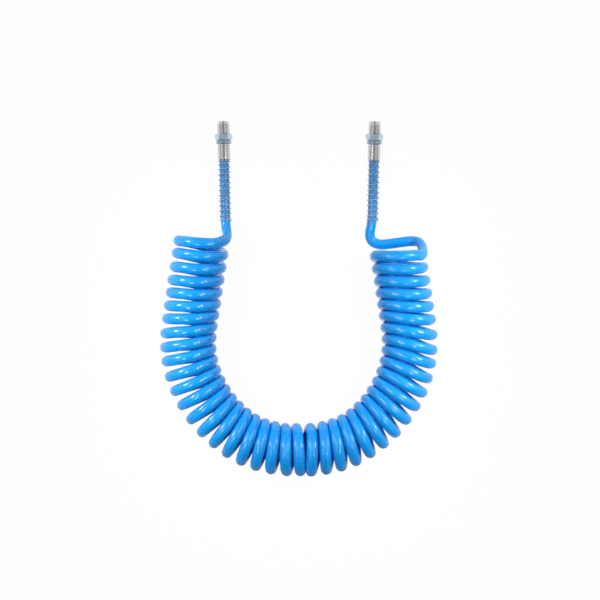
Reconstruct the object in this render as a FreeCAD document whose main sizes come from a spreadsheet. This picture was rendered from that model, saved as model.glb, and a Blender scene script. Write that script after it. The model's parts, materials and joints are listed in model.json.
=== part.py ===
"""A coiled polyurethane air hose lying flat in a U, with a swivelling male fitting on each end.

The frame stands on the ground under the middle of the whole hose: +Y runs from the bend of the U up its
legs to the fittings, +X to the right and +Z up. Lengths are in millimetres and angles in degrees.

The hose is one long right-handed helix. It starts at the left fitting, climbs on to its first curl, runs
down the left leg, round the bend and up the right leg, and ends at the right fitting. Places along it are
counted in curls from the top of the curl at the lowest point of the U: whole numbers are tops of curls,
and halves are the spots where the hose touches the ground.
"""
import FreeCAD, Part
import math
import os

import Sketcher
from FreeCAD import Placement, Rotation, Vector

doc = FreeCAD.newDocument("coiled_air_hose")

# The driving dimensions. Distances on a fitting run from the face of its thread towards the hose.

DIMENSIONS = [
    ("hose_diameter", 9.5, "outside of the tube"),
    ("hose_bore", 6.35, "inside of the tube"),
    ("leg_curl_radius", 23.2, "centreline of a curl on the legs"),
    ("bend_curl_radius", 21.5, "centreline of a curl at the bottom of the U, drawn a little tighter"),
    ("bend_radius", 108.5, "axis of the coil round the bend of the U"),
    ("bend_centre_forward", -39.9, "centre of that bend along Y"),
    ("leg_lean", 7.5, "each leg leans this far towards the other"),
    ("bend_curls", 28.1, "curls between the two ends of the bend"),
    ("leg_pitch", 12.2, "from curl to curl along a leg"),
    ("curls_left", 21, "curls before the lowest one"),
    ("curls_right", 20, "curls after the lowest one, up to the last top"),
    ("curl_lean", 0.5, "right of the seam a curl's inner side runs this share of a pitch ahead"),
    ("curl_lean_start", -0.5, "where along the coil the curls begin to lean"),
    ("curl_lean_run", 2.0, "curls over which they come to lean fully"),
    ("curl_drag", 7.0, "on the right leg the lower side of a curl lies this far back"),
    ("curl_drag_blend", 0.25, "how gradually that begins at the curl's sides, as a share of its radius"),
    ("end_spread", 74.3, "from the middle to the face of each thread"),
    ("end_forward", 174.5, "the face of each thread along Y"),
    ("end_splay", 1.3, "each end opens outwards by this angle"),
    ("left_end_rise", 5.0, "slope of the left end, up to the coil"),
    ("lead_end", 88.5, "where the coil piece begins"),
    ("coil_straight", 10.0, "straight stretch of the coil piece beside each lead"),
    ("thread_radius", 6.5785, "crest of a G 1/4 thread"),
    ("thread_lead_depth", 1.25, "lead taper, across"),
    ("thread_lead_length", 4.0, "lead taper, along"),
    ("hexagon_start", 12.5, "front face of the hexagon"),
    ("hexagon_width", 15.0, "across its flats"),
    ("hexagon_end", 18.3, "rear face of the hexagon"),
    ("hexagon_bevel", 30.0, "angle of the bevels that round its corners"),
    ("collar_radius", 7.35, "round collar behind the hexagon"),
    ("collar_end", 22.7, "rear face of the swivel body"),
    ("collar_chamfer", 0.6, "rear edge of the collar"),
    ("port_radius", 3.0, "air passage through the thread"),
    ("port_depth", 10.0, "where it opens into the swivel bore"),
    ("swivel_bore_radius", 4.6, "bore that the stem turns in"),
    ("ring_place", 20.75, "middle of the snap ring"),
    ("ring_wire_radius", 0.45, "radius of its wire"),
    ("ring_play", 0.05, "space beside the snap ring"),
    ("ring_bite", 0.5, "depth of its groove in the swivel body"),
    ("ring_groove_radius", 3.6, "bottom of its groove in the stem"),
    ("ring_sweep", 300.0, "angle that the open ring covers"),
    ("journal_radius", 4.55, "part of the stem that turns in the bore"),
    ("journal_start", 10.3, "front face of the stem"),
    ("journal_chamfer", 0.4, "front edge of the journal"),
    ("seal_place", 13.2, "middle of the O-ring"),
    ("seal_section_radius", 0.66, "radius of the O-ring's section"),
    ("seal_groove_width", 1.9, "groove that holds it"),
    ("seal_groove_radius", 3.2, "bottom of that groove"),
    ("shoulder_start", 22.9, "front face of the shoulder that the ferrule sits against"),
    ("shoulder_end", 24.0, "rear face of the shoulder"),
    ("shoulder_radius", 5.8, "outside of the shoulder"),
    ("neck_radius", 3.9, "neck behind the shoulder"),
    ("hose_start", 25.4, "end of the hose, inside the ferrule"),
    ("stem_bore_radius", 1.9, "air passage through the stem"),
    ("barb_start", 26.0, "steep side of the first barb"),
    ("barb_pitch", 3.1, "from barb to barb"),
    ("barb_count", 5, "barbs inside the hose"),
    ("barb_depth", 0.45, "height of a barb"),
    ("stem_end", 42.0, "tip of the stem"),
    ("ferrule_radius", 6.1, "outside of the ferrule"),
    ("ferrule_end", 37.8, "rear face of the ferrule"),
    ("ferrule_clearance", 0.03, "round the hose and the neck"),
    ("ferrule_lip", 1.35, "thickness of the lip that drops behind the shoulder"),
    ("ferrule_round", 0.5, "rounding of its outer edges"),
    ("guard_wire", 1.2, "diameter of the spring guard's wire"),
    ("guard_clearance", 0.12, "between wire and hose"),
    ("guard_pitch", 5.06, "from turn to turn"),
    ("guard_turns", 11, "open turns"),
    ("guard_closed_pitch", 1.75, "pitch where the spring is closed up"),
    ("guard_closed_turns", 1.0, "closed turns at each end"),
]

sheet = doc.addObject("Spreadsheet::Sheet", "dim")
for line, (alias, number, meaning) in enumerate(DIMENSIONS, start=1):
    sheet.set(f"A{line}", str(number))
    sheet.setAlias(f"A{line}", alias)
    sheet.set(f"B{line}", meaning)
doc.recompute()


def value(formula):
    """The number that a formula such as 'dim.hose_diameter / 2' stands for."""
    return float(sheet.evalExpression(formula))


# Turned pieces, drawn with the fitting's own axis along Z and the face of the thread at 0


def new_body(name):
    body = doc.addObject("PartDesign::Body", name)
    body.Label = name
    return body


def origin_feature(body, role):
    return next(feature for feature in body.Origin.OriginFeatures if feature.Role == role)


def new_sketch(body, name, plane):
    sketch = body.newObject("Sketcher::SketchObject", name)
    sketch.AttachmentSupport = [(origin_feature(body, plane), "")]
    sketch.MapMode = "FlatFace"
    return sketch


def draw_outline(sketch, corners):
    """A closed outline whose corners are pairs of formulas: radius, distance along the axis."""
    first = sketch.GeometryCount
    count = len(corners)
    points = [Vector(value(radius), value(distance), 0) for radius, distance in corners]
    for point, following in zip(points, points[1:] + points[:1]):
        sketch.addGeometry(Part.LineSegment(point, following))
    for corner in range(count):
        here = first + corner
        following = first + (corner + 1) % count
        sketch.addConstraint(Sketcher.Constraint("Coincident", here, 2, following, 1))
    for corner, (radius, distance) in enumerate(corners):
        tie_corner(sketch, first + corner, "DistanceX", -2, radius)
        tie_corner(sketch, first + corner, "DistanceY", -1, distance)


def tie_corner(sketch, line, kind, axis, formula):
    """Ties the start of a sketch line to a formula. A plain 0 puts it on that axis instead."""
    if formula == "0":
        sketch.addConstraint(Sketcher.Constraint("PointOnObject", line, 1, axis))
        return
    place = sketch.addConstraint(Sketcher.Constraint(kind, -1, 1, line, 1, value(formula)))
    sketch.setExpression(f"Constraints[{place}]", formula)


def turn(body, kind, name, *outlines):
    """Adds (Revolution) or cuts (Groove) the outlines, turned once round the Z axis."""
    sketch = new_sketch(body, name + "_outline", "XZ_Plane")
    for corners in outlines:
        draw_outline(sketch, corners)
    feature = body.newObject(f"PartDesign::{kind}", name)
    feature.Profile = sketch
    feature.ReferenceAxis = (sketch, ["V_Axis"])
    feature.Angle = 360
    return feature


def draw_circle(sketch, radius, construction=False):
    circle = sketch.addGeometry(Part.Circle(Vector(), Vector(0, 0, 1), value(radius)), construction)
    sketch.addConstraint(Sketcher.Constraint("Coincident", circle, 3, -1, 1))
    place = sketch.addConstraint(Sketcher.Constraint("Radius", circle, value(radius)))
    sketch.setExpression(f"Constraints[{place}]", radius)
    return circle


def draw_hexagon(sketch, width):
    """Six equal sides round the origin, with two flats square to the sketch's Y axis."""
    rim = draw_circle(sketch, f"{width} / 2 / cos(30deg)", construction=True)
    reach = value(width) / 2 / math.cos(math.radians(30))
    angles = [math.radians(60 * side) for side in range(6)]
    corners = [Vector(reach * math.cos(angle), reach * math.sin(angle), 0) for angle in angles]
    sides = []
    for corner, following in zip(corners, corners[1:] + corners[:1]):
        sides.append(sketch.addGeometry(Part.LineSegment(corner, following)))
    for side, following in zip(sides, sides[1:] + sides[:1]):
        sketch.addConstraint(Sketcher.Constraint("Coincident", side, 2, following, 1))
        sketch.addConstraint(Sketcher.Constraint("PointOnObject", side, 1, rim))
    for side in sides[1:]:
        sketch.addConstraint(Sketcher.Constraint("Equal", sides[0], side))
    sketch.addConstraint(Sketcher.Constraint("PointOnObject", sides[0], 1, -1))


def make_swivel_body(name):
    """Male thread, hexagon and collar in one piece, bored through and stepped for the stem."""
    body = new_body(name)
    thread = "dim.thread_radius"
    collar = "dim.collar_radius"
    turn(
        body,
        "Revolution",
        "blank_" + name,
        [
            ("dim.port_radius", "0"),
            (f"{thread} - dim.thread_lead_depth", "0"),
            (thread, "dim.thread_lead_length"),
            (thread, "dim.hexagon_start"),
            (collar, "dim.hexagon_start"),
            (collar, "dim.collar_end - dim.collar_chamfer"),
            (f"{collar} - dim.collar_chamfer", "dim.collar_end"),
            ("dim.port_radius", "dim.collar_end"),
        ],
    )
    sketch = new_sketch(body, "hexagon_outline_" + name, "XY_Plane")
    sketch.setExpression("AttachmentOffset.Base.z", "dim.hexagon_start * 1mm")
    draw_hexagon(sketch, "dim.hexagon_width")
    draw_circle(sketch, "dim.port_radius")
    hexagon = body.newObject("PartDesign::Pad", "hexagon_" + name)
    hexagon.Profile = sketch
    hexagon.setExpression("Length", "dim.hexagon_end - dim.hexagon_start")

    flat = "dim.hexagon_width / 2"
    outside = "dim.hexagon_width"
    slant = "dim.hexagon_width / 2 * tan(dim.hexagon_bevel * 1deg)"
    front = "dim.hexagon_start"
    rear = "dim.hexagon_end"
    turn(
        body,
        "Groove",
        "bevels_" + name,
        [(flat, front), (outside, front), (outside, f"{front} + {slant}")],
        [(flat, rear), (outside, f"{rear} - {slant}"), (outside, rear)],
    )
    bore = "dim.swivel_bore_radius"
    ring_front = "dim.ring_place - dim.ring_wire_radius - dim.ring_play"
    ring_rear = "dim.ring_place + dim.ring_wire_radius + dim.ring_play"
    turn(
        body,
        "Groove",
        "bore_" + name,
        [
            ("dim.port_radius / 2", "dim.port_depth"),
            (bore, "dim.port_depth"),
            (bore, ring_front),
            (f"{bore} + dim.ring_bite", ring_front),
            (f"{bore} + dim.ring_bite", ring_rear),
            (bore, ring_rear),
            (bore, "dim.collar_end + 1"),
            ("dim.port_radius / 2", "dim.collar_end + 1"),
        ],
    )
    return body


def make_hose_stem(name):
    """Journal, shoulder and barbed shank, with grooves for the O-ring and the snap ring."""
    body = new_body(name)
    journal = "dim.journal_radius"
    shank = "dim.hose_bore / 2"
    seal_groove = "dim.seal_groove_radius"
    seal_front = "dim.seal_place - dim.seal_groove_width / 2"
    seal_rear = "dim.seal_place + dim.seal_groove_width / 2"
    ring_groove = "dim.ring_groove_radius"
    ring_front = "dim.ring_place - dim.ring_wire_radius - dim.ring_play"
    ring_rear = "dim.ring_place + dim.ring_wire_radius + dim.ring_play"
    turn(
        body,
        "Revolution",
        "blank_" + name,
        [
            ("dim.stem_bore_radius", "dim.journal_start"),
            (f"{journal} - dim.journal_chamfer", "dim.journal_start"),
            (journal, "dim.journal_start + dim.journal_chamfer"),
            (journal, seal_front),
            (seal_groove, seal_front),
            (seal_groove, seal_rear),
            (journal, seal_rear),
            (journal, ring_front),
            (ring_groove, ring_front),
            (ring_groove, ring_rear),
            (journal, ring_rear),
            (journal, "dim.shoulder_start"),
            ("dim.shoulder_radius", "dim.shoulder_start"),
            ("dim.shoulder_radius", "dim.shoulder_end"),
            ("dim.neck_radius", "dim.shoulder_end"),
            ("dim.neck_radius", "dim.hose_start"),
            (shank, "dim.hose_start"),
            (shank, "dim.stem_end - dim.barb_depth"),
            (f"{shank} - dim.barb_depth", "dim.stem_end"),
            ("dim.stem_bore_radius", "dim.stem_end"),
        ],
    )
    notch = turn(
        body,
        "Groove",
        "notch_" + name,
        [
            (f"{shank} - dim.barb_depth", "dim.barb_start"),
            (f"{shank} + 1", "dim.barb_start"),
            (f"{shank} + 1", "dim.barb_start + dim.barb_pitch"),
            (shank, "dim.barb_start + dim.barb_pitch"),
        ],
    )
    doc.recompute()
    barbs = body.newObject("PartDesign::LinearPattern", "barbs_" + name)
    barbs.Originals = [notch]
    barbs.Direction = (origin_feature(body, "Z_Axis"), [""])
    barbs.setExpression("Length", "dim.barb_pitch * (dim.barb_count - 1)")
    barbs.setExpression("Occurrences", "dim.barb_count")
    body.Tip = barbs
    return body


def make_ferrule(name):
    """A sleeve over the hose, whose lip drops behind the stem's shoulder."""
    body = new_body(name)
    neck = "dim.neck_radius + dim.ferrule_clearance"
    bore = "dim.hose_diameter / 2 + dim.ferrule_clearance"
    sleeve = turn(
        body,
        "Revolution",
        "sleeve_" + name,
        [
            (neck, "dim.shoulder_end"),
            ("dim.ferrule_radius", "dim.shoulder_end"),
            ("dim.ferrule_radius", "dim.ferrule_end"),
            (bore, "dim.ferrule_end"),
            (bore, "dim.shoulder_end + dim.ferrule_lip"),
            (neck, "dim.shoulder_end + dim.ferrule_lip"),
        ],
    )
    doc.recompute()
    outside = value("dim.ferrule_radius")
    rims = []
    for number, edge in enumerate(sleeve.Shape.Edges, start=1):
        if edge.Curve.TypeId == "Part::GeomCircle" and abs(edge.Curve.Radius - outside) < 1e-6:
            rims.append(f"Edge{number}")
    fillet = body.newObject("PartDesign::Fillet", "rims_" + name)
    fillet.Base = (sleeve, rims)
    fillet.setExpression("Radius", "dim.ferrule_round")
    return body


def make_hose_lead(name):
    """The straight stretch of the hose, from inside the ferrule to the coil."""
    body = new_body(name)
    sketch = new_sketch(body, "section_" + name, "XY_Plane")
    sketch.setExpression("AttachmentOffset.Base.z", "dim.hose_start * 1mm")
    draw_circle(sketch, "dim.hose_diameter / 2")
    draw_circle(sketch, "dim.hose_bore / 2")
    tube = body.newObject("PartDesign::Pad", "tube_" + name)
    tube.Profile = sketch
    tube.setExpression("Length", "dim.lead_end - dim.hose_start")
    return body


def make_o_ring(name):
    ring = doc.addObject("Part::Torus", name)
    ring.Label = name
    ring.setExpression("Radius2", "dim.seal_section_radius")
    ring.setExpression("Radius1", "dim.seal_groove_radius + dim.seal_section_radius")
    return ring


def make_snap_ring(name):
    """A round wire, open over part of its turn so that it can be squeezed into its groove."""
    ring = doc.addObject("Part::Torus", name)
    ring.Label = name
    ring.setExpression("Radius2", "dim.ring_wire_radius")
    ring.setExpression("Radius1", "dim.swivel_bore_radius + dim.ring_bite - dim.ring_wire_radius")
    ring.setExpression("Angle3", "dim.ring_sweep")
    return ring


# Wound pieces: their centrelines are arcs that meet in line, two from each point to the next


def arc(start, corner, end):
    """The arc from start to end whose tangents meet at corner."""
    middle = (start + end) * 0.5
    half_chord = (end - start).Length / 2
    outwards = corner - middle
    bend = math.atan2(outwards.Length, half_chord)
    top = middle + outwards.normalize() * (half_chord * math.tan(bend / 2))
    return Part.Arc(start, top, end).toShape()


def biarc(start, start_heading, end, end_heading):
    """Two arcs in line with each other that leave start and reach end along the given headings."""
    span = end - start
    drift = span.dot(start_heading + end_heading)
    turning = 1 - start_heading.dot(end_heading)
    reach = (math.sqrt(drift**2 + 2 * turning * span.dot(span)) - drift) / (2 * turning)
    first_corner = start + start_heading * reach
    second_corner = end - end_heading * reach
    joint = (first_corner + second_corner) * 0.5
    return [arc(start, first_corner, joint), arc(joint, second_corner, end)]


def centreline(nodes, end_straight):
    """A wire through pairs of point and heading, with a straight run of that length at both ends."""
    first, first_heading = nodes[0]
    last, last_heading = nodes[-1]
    edges = [Part.LineSegment(first - first_heading * end_straight, first).toShape()]
    for (start, start_heading), (end, end_heading) in zip(nodes, nodes[1:]):
        edges += biarc(start, start_heading, end, end_heading)
    edges.append(Part.LineSegment(last, last + last_heading * end_straight).toShape())
    return Part.Wire(edges)


def heading_of(curve, place):
    """The direction in which a curve, a function from number to point, passes a place."""
    step = 1e-4
    return (curve(place + step) - curve(place - step)).normalize()


def circle_across(wire, radius):
    first = wire.Edges[0]
    start = first.valueAt(first.FirstParameter)
    along = first.tangentAt(first.FirstParameter)
    return Part.Wire([Part.Circle(start, along, radius).toShape()])


def rod(wire, radius):
    """A solid round rod along the wire."""
    return wire.makePipeShell([circle_across(wire, radius)], True, False)


def tube(wire, radius, bore_radius):
    """A hollow tube along the wire."""
    return rod(wire, radius).cut(rod(wire, bore_radius))


def print_least_gap(name, wire, diameter, turn_length):
    """Prints how near the wound piece comes to itself, and its tightest radius."""
    spacing = diameter / 5
    points = wire.discretize(Distance=spacing)
    skip = int(turn_length / 2 / spacing)
    reach = int(turn_length * 1.6 / spacing)
    gaps = []
    for here, point in enumerate(points):
        for other in points[here + skip : here + reach]:
            gaps.append(point.distanceToPoint(other) - diameter)
    radii = [edge.Curve.Radius for edge in wire.Edges if edge.Curve.TypeId == "Part::GeomCircle"]
    print(f"{name}: {wire.Length:.0f} mm long, least gap {min(gaps):.2f}, least radius {min(radii):.2f}")


# The coil

# By hand, from the picture: how the curls stray from an even coil, alike on both sides. Each line is a
# number of curls from the lowest one, with the lean there as a share of a pitch, the millimetres outwards
# and the share of a pitch towards the lowest one.
STRAYS = [
    (0.0, 0.0, -0.8, 0.0),
    (1.5, 0.0, 0.3, 0.0),
    (4.0, 0.0, 1.4, 0.08),
    (6.5, 0.05, 0.7, 0.1),
    (9.0, 0.1, 0.2, 0.05),
    (11.5, 0.0, 0.4, 0.05),
    (14.0, -0.2, 0.0, 0.08),
    (17.5, 0.0, -0.5, 0.12),
    (20.0, 0.0, -1.3, 0.1),
]


def smooth_step(share):
    share = min(max(share, 0), 1)
    return share * share * (3 - 2 * share)


def travel(curls):
    """How far along the axis of the U a number of curls reaches from its lowest point."""
    in_bend = value("dim.bend_curls") / 2
    half_bend = value("dim.bend_radius") * math.radians(90 + value("dim.leg_lean"))
    if abs(curls) <= in_bend:
        return curls / in_bend * half_bend
    on_leg = (abs(curls) - in_bend) * value("dim.leg_pitch")
    return math.copysign(half_bend + on_leg, curls)


def coil_axis(distance):
    """Point and heading of the U's axis, which is an arc between two straight legs."""
    bend_radius = value("dim.bend_radius")
    most = math.radians(90 + value("dim.leg_lean"))
    angle = min(max(distance / bend_radius, -most), most)
    heading = Vector(math.cos(angle), math.sin(angle), 0)
    centre = Vector(0, value("dim.bend_centre_forward"), 0)
    outwards = Vector(math.sin(angle), -math.cos(angle), 0)
    return centre + outwards * bend_radius + heading * (distance - angle * bend_radius), heading


def leg_share(curls):
    """0 at the lowest point of the U, growing to 1 on the right leg and to -1 on the left one."""
    quarter = value("dim.bend_radius") * math.pi / 2
    return math.copysign(smooth_step(abs(travel(curls)) / quarter), curls)


def stray(curls):
    """Lean, distance outwards and shift towards the lowest curl, between the lines of STRAYS."""
    place = abs(curls)
    for (start, *here), (end, *following) in zip(STRAYS, STRAYS[1:]):
        if place <= end:
            share = smooth_step((place - start) / (end - start))
            return [before + (after - before) * share for before, after in zip(here, following)]
    return STRAYS[-1][1:]


def coil_point(curls):
    """The hose's centreline. It passes over the axis from the inside of the U to the outside."""
    phase = 2 * math.pi * curls
    inwards = -math.sin(phase)
    upwards = math.cos(phase)
    lean, outwards, shift = stray(curls)
    past_seam = smooth_step((curls - value("dim.curl_lean_start")) / value("dim.curl_lean_run"))
    lean += (value("dim.curl_lean") - 2 * lean) * past_seam
    shift *= 1 - 2 * past_seam
    below = (math.hypot(upwards, value("dim.curl_drag_blend")) - upwards) / 2
    drag = value("dim.curl_drag") * max(leg_share(curls), 0) * below
    axis_point, heading = coil_axis(travel(curls + shift + lean * inwards) - drag)
    to_inside = Vector(-heading.y, heading.x, 0)
    smallest = value("dim.bend_curl_radius")
    radius = smallest + (value("dim.leg_curl_radius") - smallest) * abs(leg_share(curls))
    height = value("dim.hose_diameter") / 2 + radius * (1 + upwards)
    return axis_point + to_inside * (radius * inwards - outwards) + Vector(0, 0, height)


def end_axis(side):
    """Where an end's thread begins, and which way its axis runs towards the coil."""
    splay = math.radians(value("dim.end_splay"))
    rise = math.radians(value("dim.left_end_rise")) if side == "left" else 0.0
    outwards = -1 if side == "left" else 1
    along = Vector(
        -outwards * math.sin(splay) * math.cos(rise),
        -math.cos(splay) * math.cos(rise),
        math.sin(rise),
    )
    # the front edge of the hexagon's lower flat rests on the ground
    height = value("dim.hexagon_width / 2") * math.cos(rise) - value("dim.hexagon_start") * math.sin(rise)
    face = Vector(outwards * value("dim.end_spread"), value("dim.end_forward"), height)
    return face, along


def end_placement(side):
    """Puts a piece drawn along Z on an end of the hose, with the sketches' Y turned upwards."""
    face, along = end_axis(side)
    sideways = along.cross(Vector(0, 0, 1))
    upwards = sideways.cross(along)
    return Placement(face, Rotation(sideways, upwards, along, "ZYX"))


# By hand: where the hose turns up from the left end to its first curl, and its way from the last curl's
# outer side down to the ground, across and round to the right end. Each is a point and a heading.
LEFT_RISE = (Vector(-71.3, 60.6, 29.5), Vector(-0.2, -0.3, 0.93))
RIGHT_FALL = (Vector(121.0, 46.6, 28.0), Vector(0, 0.4, -0.92))
RIGHT_LAND = (Vector(117.0, 55.4, 11.0), Vector(-0.6, 0.22, -0.75))
RIGHT_FLOOR = (Vector(104.0, 55.4, 4.75), Vector(-1, -0.09, 0))
RIGHT_CROSS = (Vector(86.0, 53.3, 4.75), Vector(-1, -0.04, 0))
RIGHT_ROUND = (Vector(69.9, 66.0, 5.8), Vector(0.16, 0.98, 0.13))


def coil_nodes():
    """Points and headings of the whole coil piece, a quarter of a curl apart in the coil itself."""
    left_face, left_along = end_axis("left")
    right_face, right_along = end_axis("right")
    straight_end = value("dim.lead_end + dim.coil_straight")
    nodes = [(left_face + left_along * straight_end, left_along), LEFT_RISE]
    first = -4 * int(value("dim.curls_left"))
    last = 4 * int(value("dim.curls_right"))
    for quarter in range(first, last + 1):
        nodes.append((coil_point(quarter / 4), heading_of(coil_point, quarter / 4)))
    nodes += [RIGHT_FALL, RIGHT_LAND, RIGHT_FLOOR, RIGHT_CROSS, RIGHT_ROUND]
    nodes.append((right_face + right_along * straight_end, right_along * -1))
    return [(point, heading.normalize()) for point, heading in nodes]


def make_hose_coil(name):
    wire = centreline(coil_nodes(), value("dim.coil_straight"))
    coil = doc.addObject("Part::Feature", name)
    coil.Label = name
    coil.Shape = tube(wire, value("dim.hose_diameter / 2"), value("dim.hose_bore / 2"))
    curl_length = 2 * math.pi * value("dim.bend_curl_radius")
    print_least_gap(name, wire, value("dim.hose_diameter"), curl_length)
    return coil


# The spring guards


def guard_point(turns):
    """The wire's centreline, closed up at both ends and drawn along Z from the ferrule."""
    closed = value("dim.guard_closed_turns")
    open_turns = value("dim.guard_turns")
    in_open = min(max(turns - closed, 0), open_turns)
    height = in_open * value("dim.guard_pitch") + (turns - in_open) * value("dim.guard_closed_pitch")
    wire = value("dim.guard_wire")
    radius = value("dim.hose_diameter / 2 + dim.guard_clearance") + wire / 2
    phase = 2 * math.pi * turns
    start = value("dim.ferrule_end") + wire / 2
    return Vector(radius * math.cos(phase), radius * math.sin(phase), start + height)


def make_spring_guard(name):
    all_turns = value("dim.guard_turns + 2 * dim.guard_closed_turns")
    quarters = [quarter / 4 for quarter in range(round(4 * all_turns) + 1)]
    nodes = [(guard_point(turns), heading_of(guard_point, turns)) for turns in quarters]
    diameter = value("dim.guard_wire")
    wire = centreline(nodes, diameter)
    guard = doc.addObject("Part::Feature", name)
    guard.Label = name
    guard.Shape = rod(wire, diameter / 2)
    print_least_gap(name, wire, diameter, math.pi * value("dim.hose_diameter"))
    return guard


# The whole hose

END_PIECES = [
    ("swivel_body", make_swivel_body, "0"),
    ("hose_stem", make_hose_stem, "0"),
    ("o_ring", make_o_ring, "dim.seal_place"),
    ("snap_ring", make_snap_ring, "dim.ring_place"),
    ("ferrule", make_ferrule, "0"),
    ("spring_guard", make_spring_guard, "0"),
    ("hose_lead", make_hose_lead, "0"),
]

pieces = [make_hose_coil("hose_coil")]
for side in ("left", "right"):
    for noun, make, distance in END_PIECES:
        piece = make(f"{noun}_{side}")
        along = Placement(Vector(0, 0, value(distance)), Rotation())
        piece.Placement = end_placement(side) * along
        pieces.append(piece)
doc.recompute()

for item in doc.Objects:
    if "Invalid" in item.State or "Error" in item.State:
        raise RuntimeError(f"{item.Label} failed: {item.State}")

os.makedirs("parts", exist_ok=True)
for piece in pieces:
    shape = piece.Shape
    if shape.isNull() or not shape.isValid() or len(shape.Solids) != 1:
        raise RuntimeError(f"{piece.Label} is not one valid solid")
    print(f"{piece.Label}: {shape.Volume:.1f} mm3, {len(shape.Faces)} faces")
    shape.exportStep(f"parts/{piece.Label}.step")

whole = Part.makeCompound([piece.Shape for piece in pieces]).BoundBox
print(f"x {whole.XMin:.1f} {whole.XMax:.1f}  y {whole.YMin:.1f} {whole.YMax:.1f}  z {whole.ZMin:.2f} {whole.ZMax:.1f}")
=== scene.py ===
# %% [markdown]
# # A coiled air hose
# A polyurethane air hose is wound warm round a bar and keeps the shape of a long spring. This one lies flat
# in a U. Each end runs through a wire spring guard into a swivelling fitting with a male thread. The lesson
# loads the measured frame of the part, makes the hose and the fittings with Blender's own tools, and gives
# each its finish.
# %% Load the frame
import json
import math

import bmesh
import bpy
from mathutils import Matrix, Vector

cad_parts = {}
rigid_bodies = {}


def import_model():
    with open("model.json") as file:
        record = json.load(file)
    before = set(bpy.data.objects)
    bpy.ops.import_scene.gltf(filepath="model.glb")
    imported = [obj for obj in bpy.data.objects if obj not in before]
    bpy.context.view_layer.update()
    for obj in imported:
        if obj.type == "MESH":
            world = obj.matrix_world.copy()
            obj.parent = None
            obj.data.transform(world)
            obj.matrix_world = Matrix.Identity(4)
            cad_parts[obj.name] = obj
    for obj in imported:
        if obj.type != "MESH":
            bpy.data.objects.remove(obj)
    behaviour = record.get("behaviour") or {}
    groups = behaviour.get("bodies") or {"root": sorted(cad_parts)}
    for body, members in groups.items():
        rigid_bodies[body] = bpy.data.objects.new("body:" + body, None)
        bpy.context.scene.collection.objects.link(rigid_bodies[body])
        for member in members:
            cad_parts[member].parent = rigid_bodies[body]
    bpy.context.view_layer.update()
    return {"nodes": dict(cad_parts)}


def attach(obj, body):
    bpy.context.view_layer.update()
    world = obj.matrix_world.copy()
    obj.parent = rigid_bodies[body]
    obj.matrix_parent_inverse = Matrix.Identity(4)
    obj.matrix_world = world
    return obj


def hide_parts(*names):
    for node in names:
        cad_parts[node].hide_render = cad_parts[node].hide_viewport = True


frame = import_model()
MM = 0.001

# %% [markdown]
# ## The camera
# The hose was pictured from almost straight above, through a long lens that keeps the curls at the edges of
# the picture nearly as upright as those in the middle. An orthographic camera would look much the same, but
# it would lose the small turn of the outer curls. The camera leans a few degrees towards the fittings. So the
# upper strand of each curl bows a little towards the bend of the U.
# %% Camera
VIEW_LEAN = math.radians(5.5)
VIEW_DISTANCE = 5.0
VIEW_WIDTH = 0.588
VIEW_CENTRE = Vector((0.00098, 0.00031, 0.028))
SENSOR_WIDTH = 36.0
FARTHEST_SEEN = 20.0

towards_camera = Vector((0, math.sin(VIEW_LEAN), math.cos(VIEW_LEAN)))
camera = bpy.data.objects.new("camera", bpy.data.cameras.new("camera"))
bpy.context.scene.collection.objects.link(camera)
camera.data.sensor_width = SENSOR_WIDTH
camera.data.lens = SENSOR_WIDTH * VIEW_DISTANCE / VIEW_WIDTH
camera.data.clip_end = FARTHEST_SEEN
camera.location = VIEW_CENTRE + towards_camera * VIEW_DISTANCE
camera.rotation_euler = (-VIEW_LEAN, 0, 0)
bpy.context.scene.camera = camera
print("lens, mm:", round(camera.data.lens, 1))

# %% [markdown]
# ## The route of the hose
# The hose is one helix whose own axis bends in a U. A straight helix with a Curve modifier would bend too,
# but each of its curls would be the same. Here the route is worked out point by point, and a place along it
# is counted in curls from the top of the curl at the lowest point of the U. A real coil is never quite even,
# so a short list says how the curls lean, spread and crowd from place to place. On the right leg the curls
# lean the other way and drag their lower sides a little, so that the upper strands and the gaps between them
# lie as in the picture.
# %% Sizes of the coil
HOSE_DIAMETER = 9.5 * MM
LEG_CURL_RADIUS = 23.2 * MM
BEND_CURL_RADIUS = 21.5 * MM
BEND_RADIUS = 108.5 * MM
BEND_CENTRE_FORWARD = -39.9 * MM
# degrees by which each leg leans inwards from straight up the picture
LEG_LEAN = 7.5
BEND_CURLS = 28.1
LEG_PITCH = 12.2 * MM
CURLS_LEFT = 21
CURLS_RIGHT = 20
# lean on the right leg as a share of a pitch, where it sets in and over how many curls
CURL_LEAN = 0.5
CURL_LEAN_START = -0.5
CURL_LEAN_RUN = 2.0
# how far the lower sides lie back there, and how softly that sets in round the curl
CURL_DRAG = 7.0 * MM
CURL_DRAG_BLEND = 0.25

# curls from the lowest one, lean as a share of a pitch, millimetres outwards, share of a pitch towards it
STRAYS = [
    (0.0, 0.0, -0.8, 0.0),
    (1.5, 0.0, 0.3, 0.0),
    (4.0, 0.0, 1.4, 0.08),
    (6.5, 0.05, 0.7, 0.1),
    (9.0, 0.1, 0.2, 0.05),
    (11.5, 0.0, 0.4, 0.05),
    (14.0, -0.2, 0.0, 0.13),
    (17.5, 0.0, -0.5, 0.15),
    (19.0, 0.05, -1.0, 0.1),
    (20.0, 0.1, -1.3, 0.03),
    (21.0, 0.05, -1.3, -0.01),
]
print("whole curls between the end bends:", CURLS_LEFT + CURLS_RIGHT)


# %% The axis of the U
def smooth_step(share):
    """0 up to 0, 1 from 1 on, and a soft S between."""
    share = min(max(share, 0), 1)
    return share * share * (3 - 2 * share)


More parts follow.
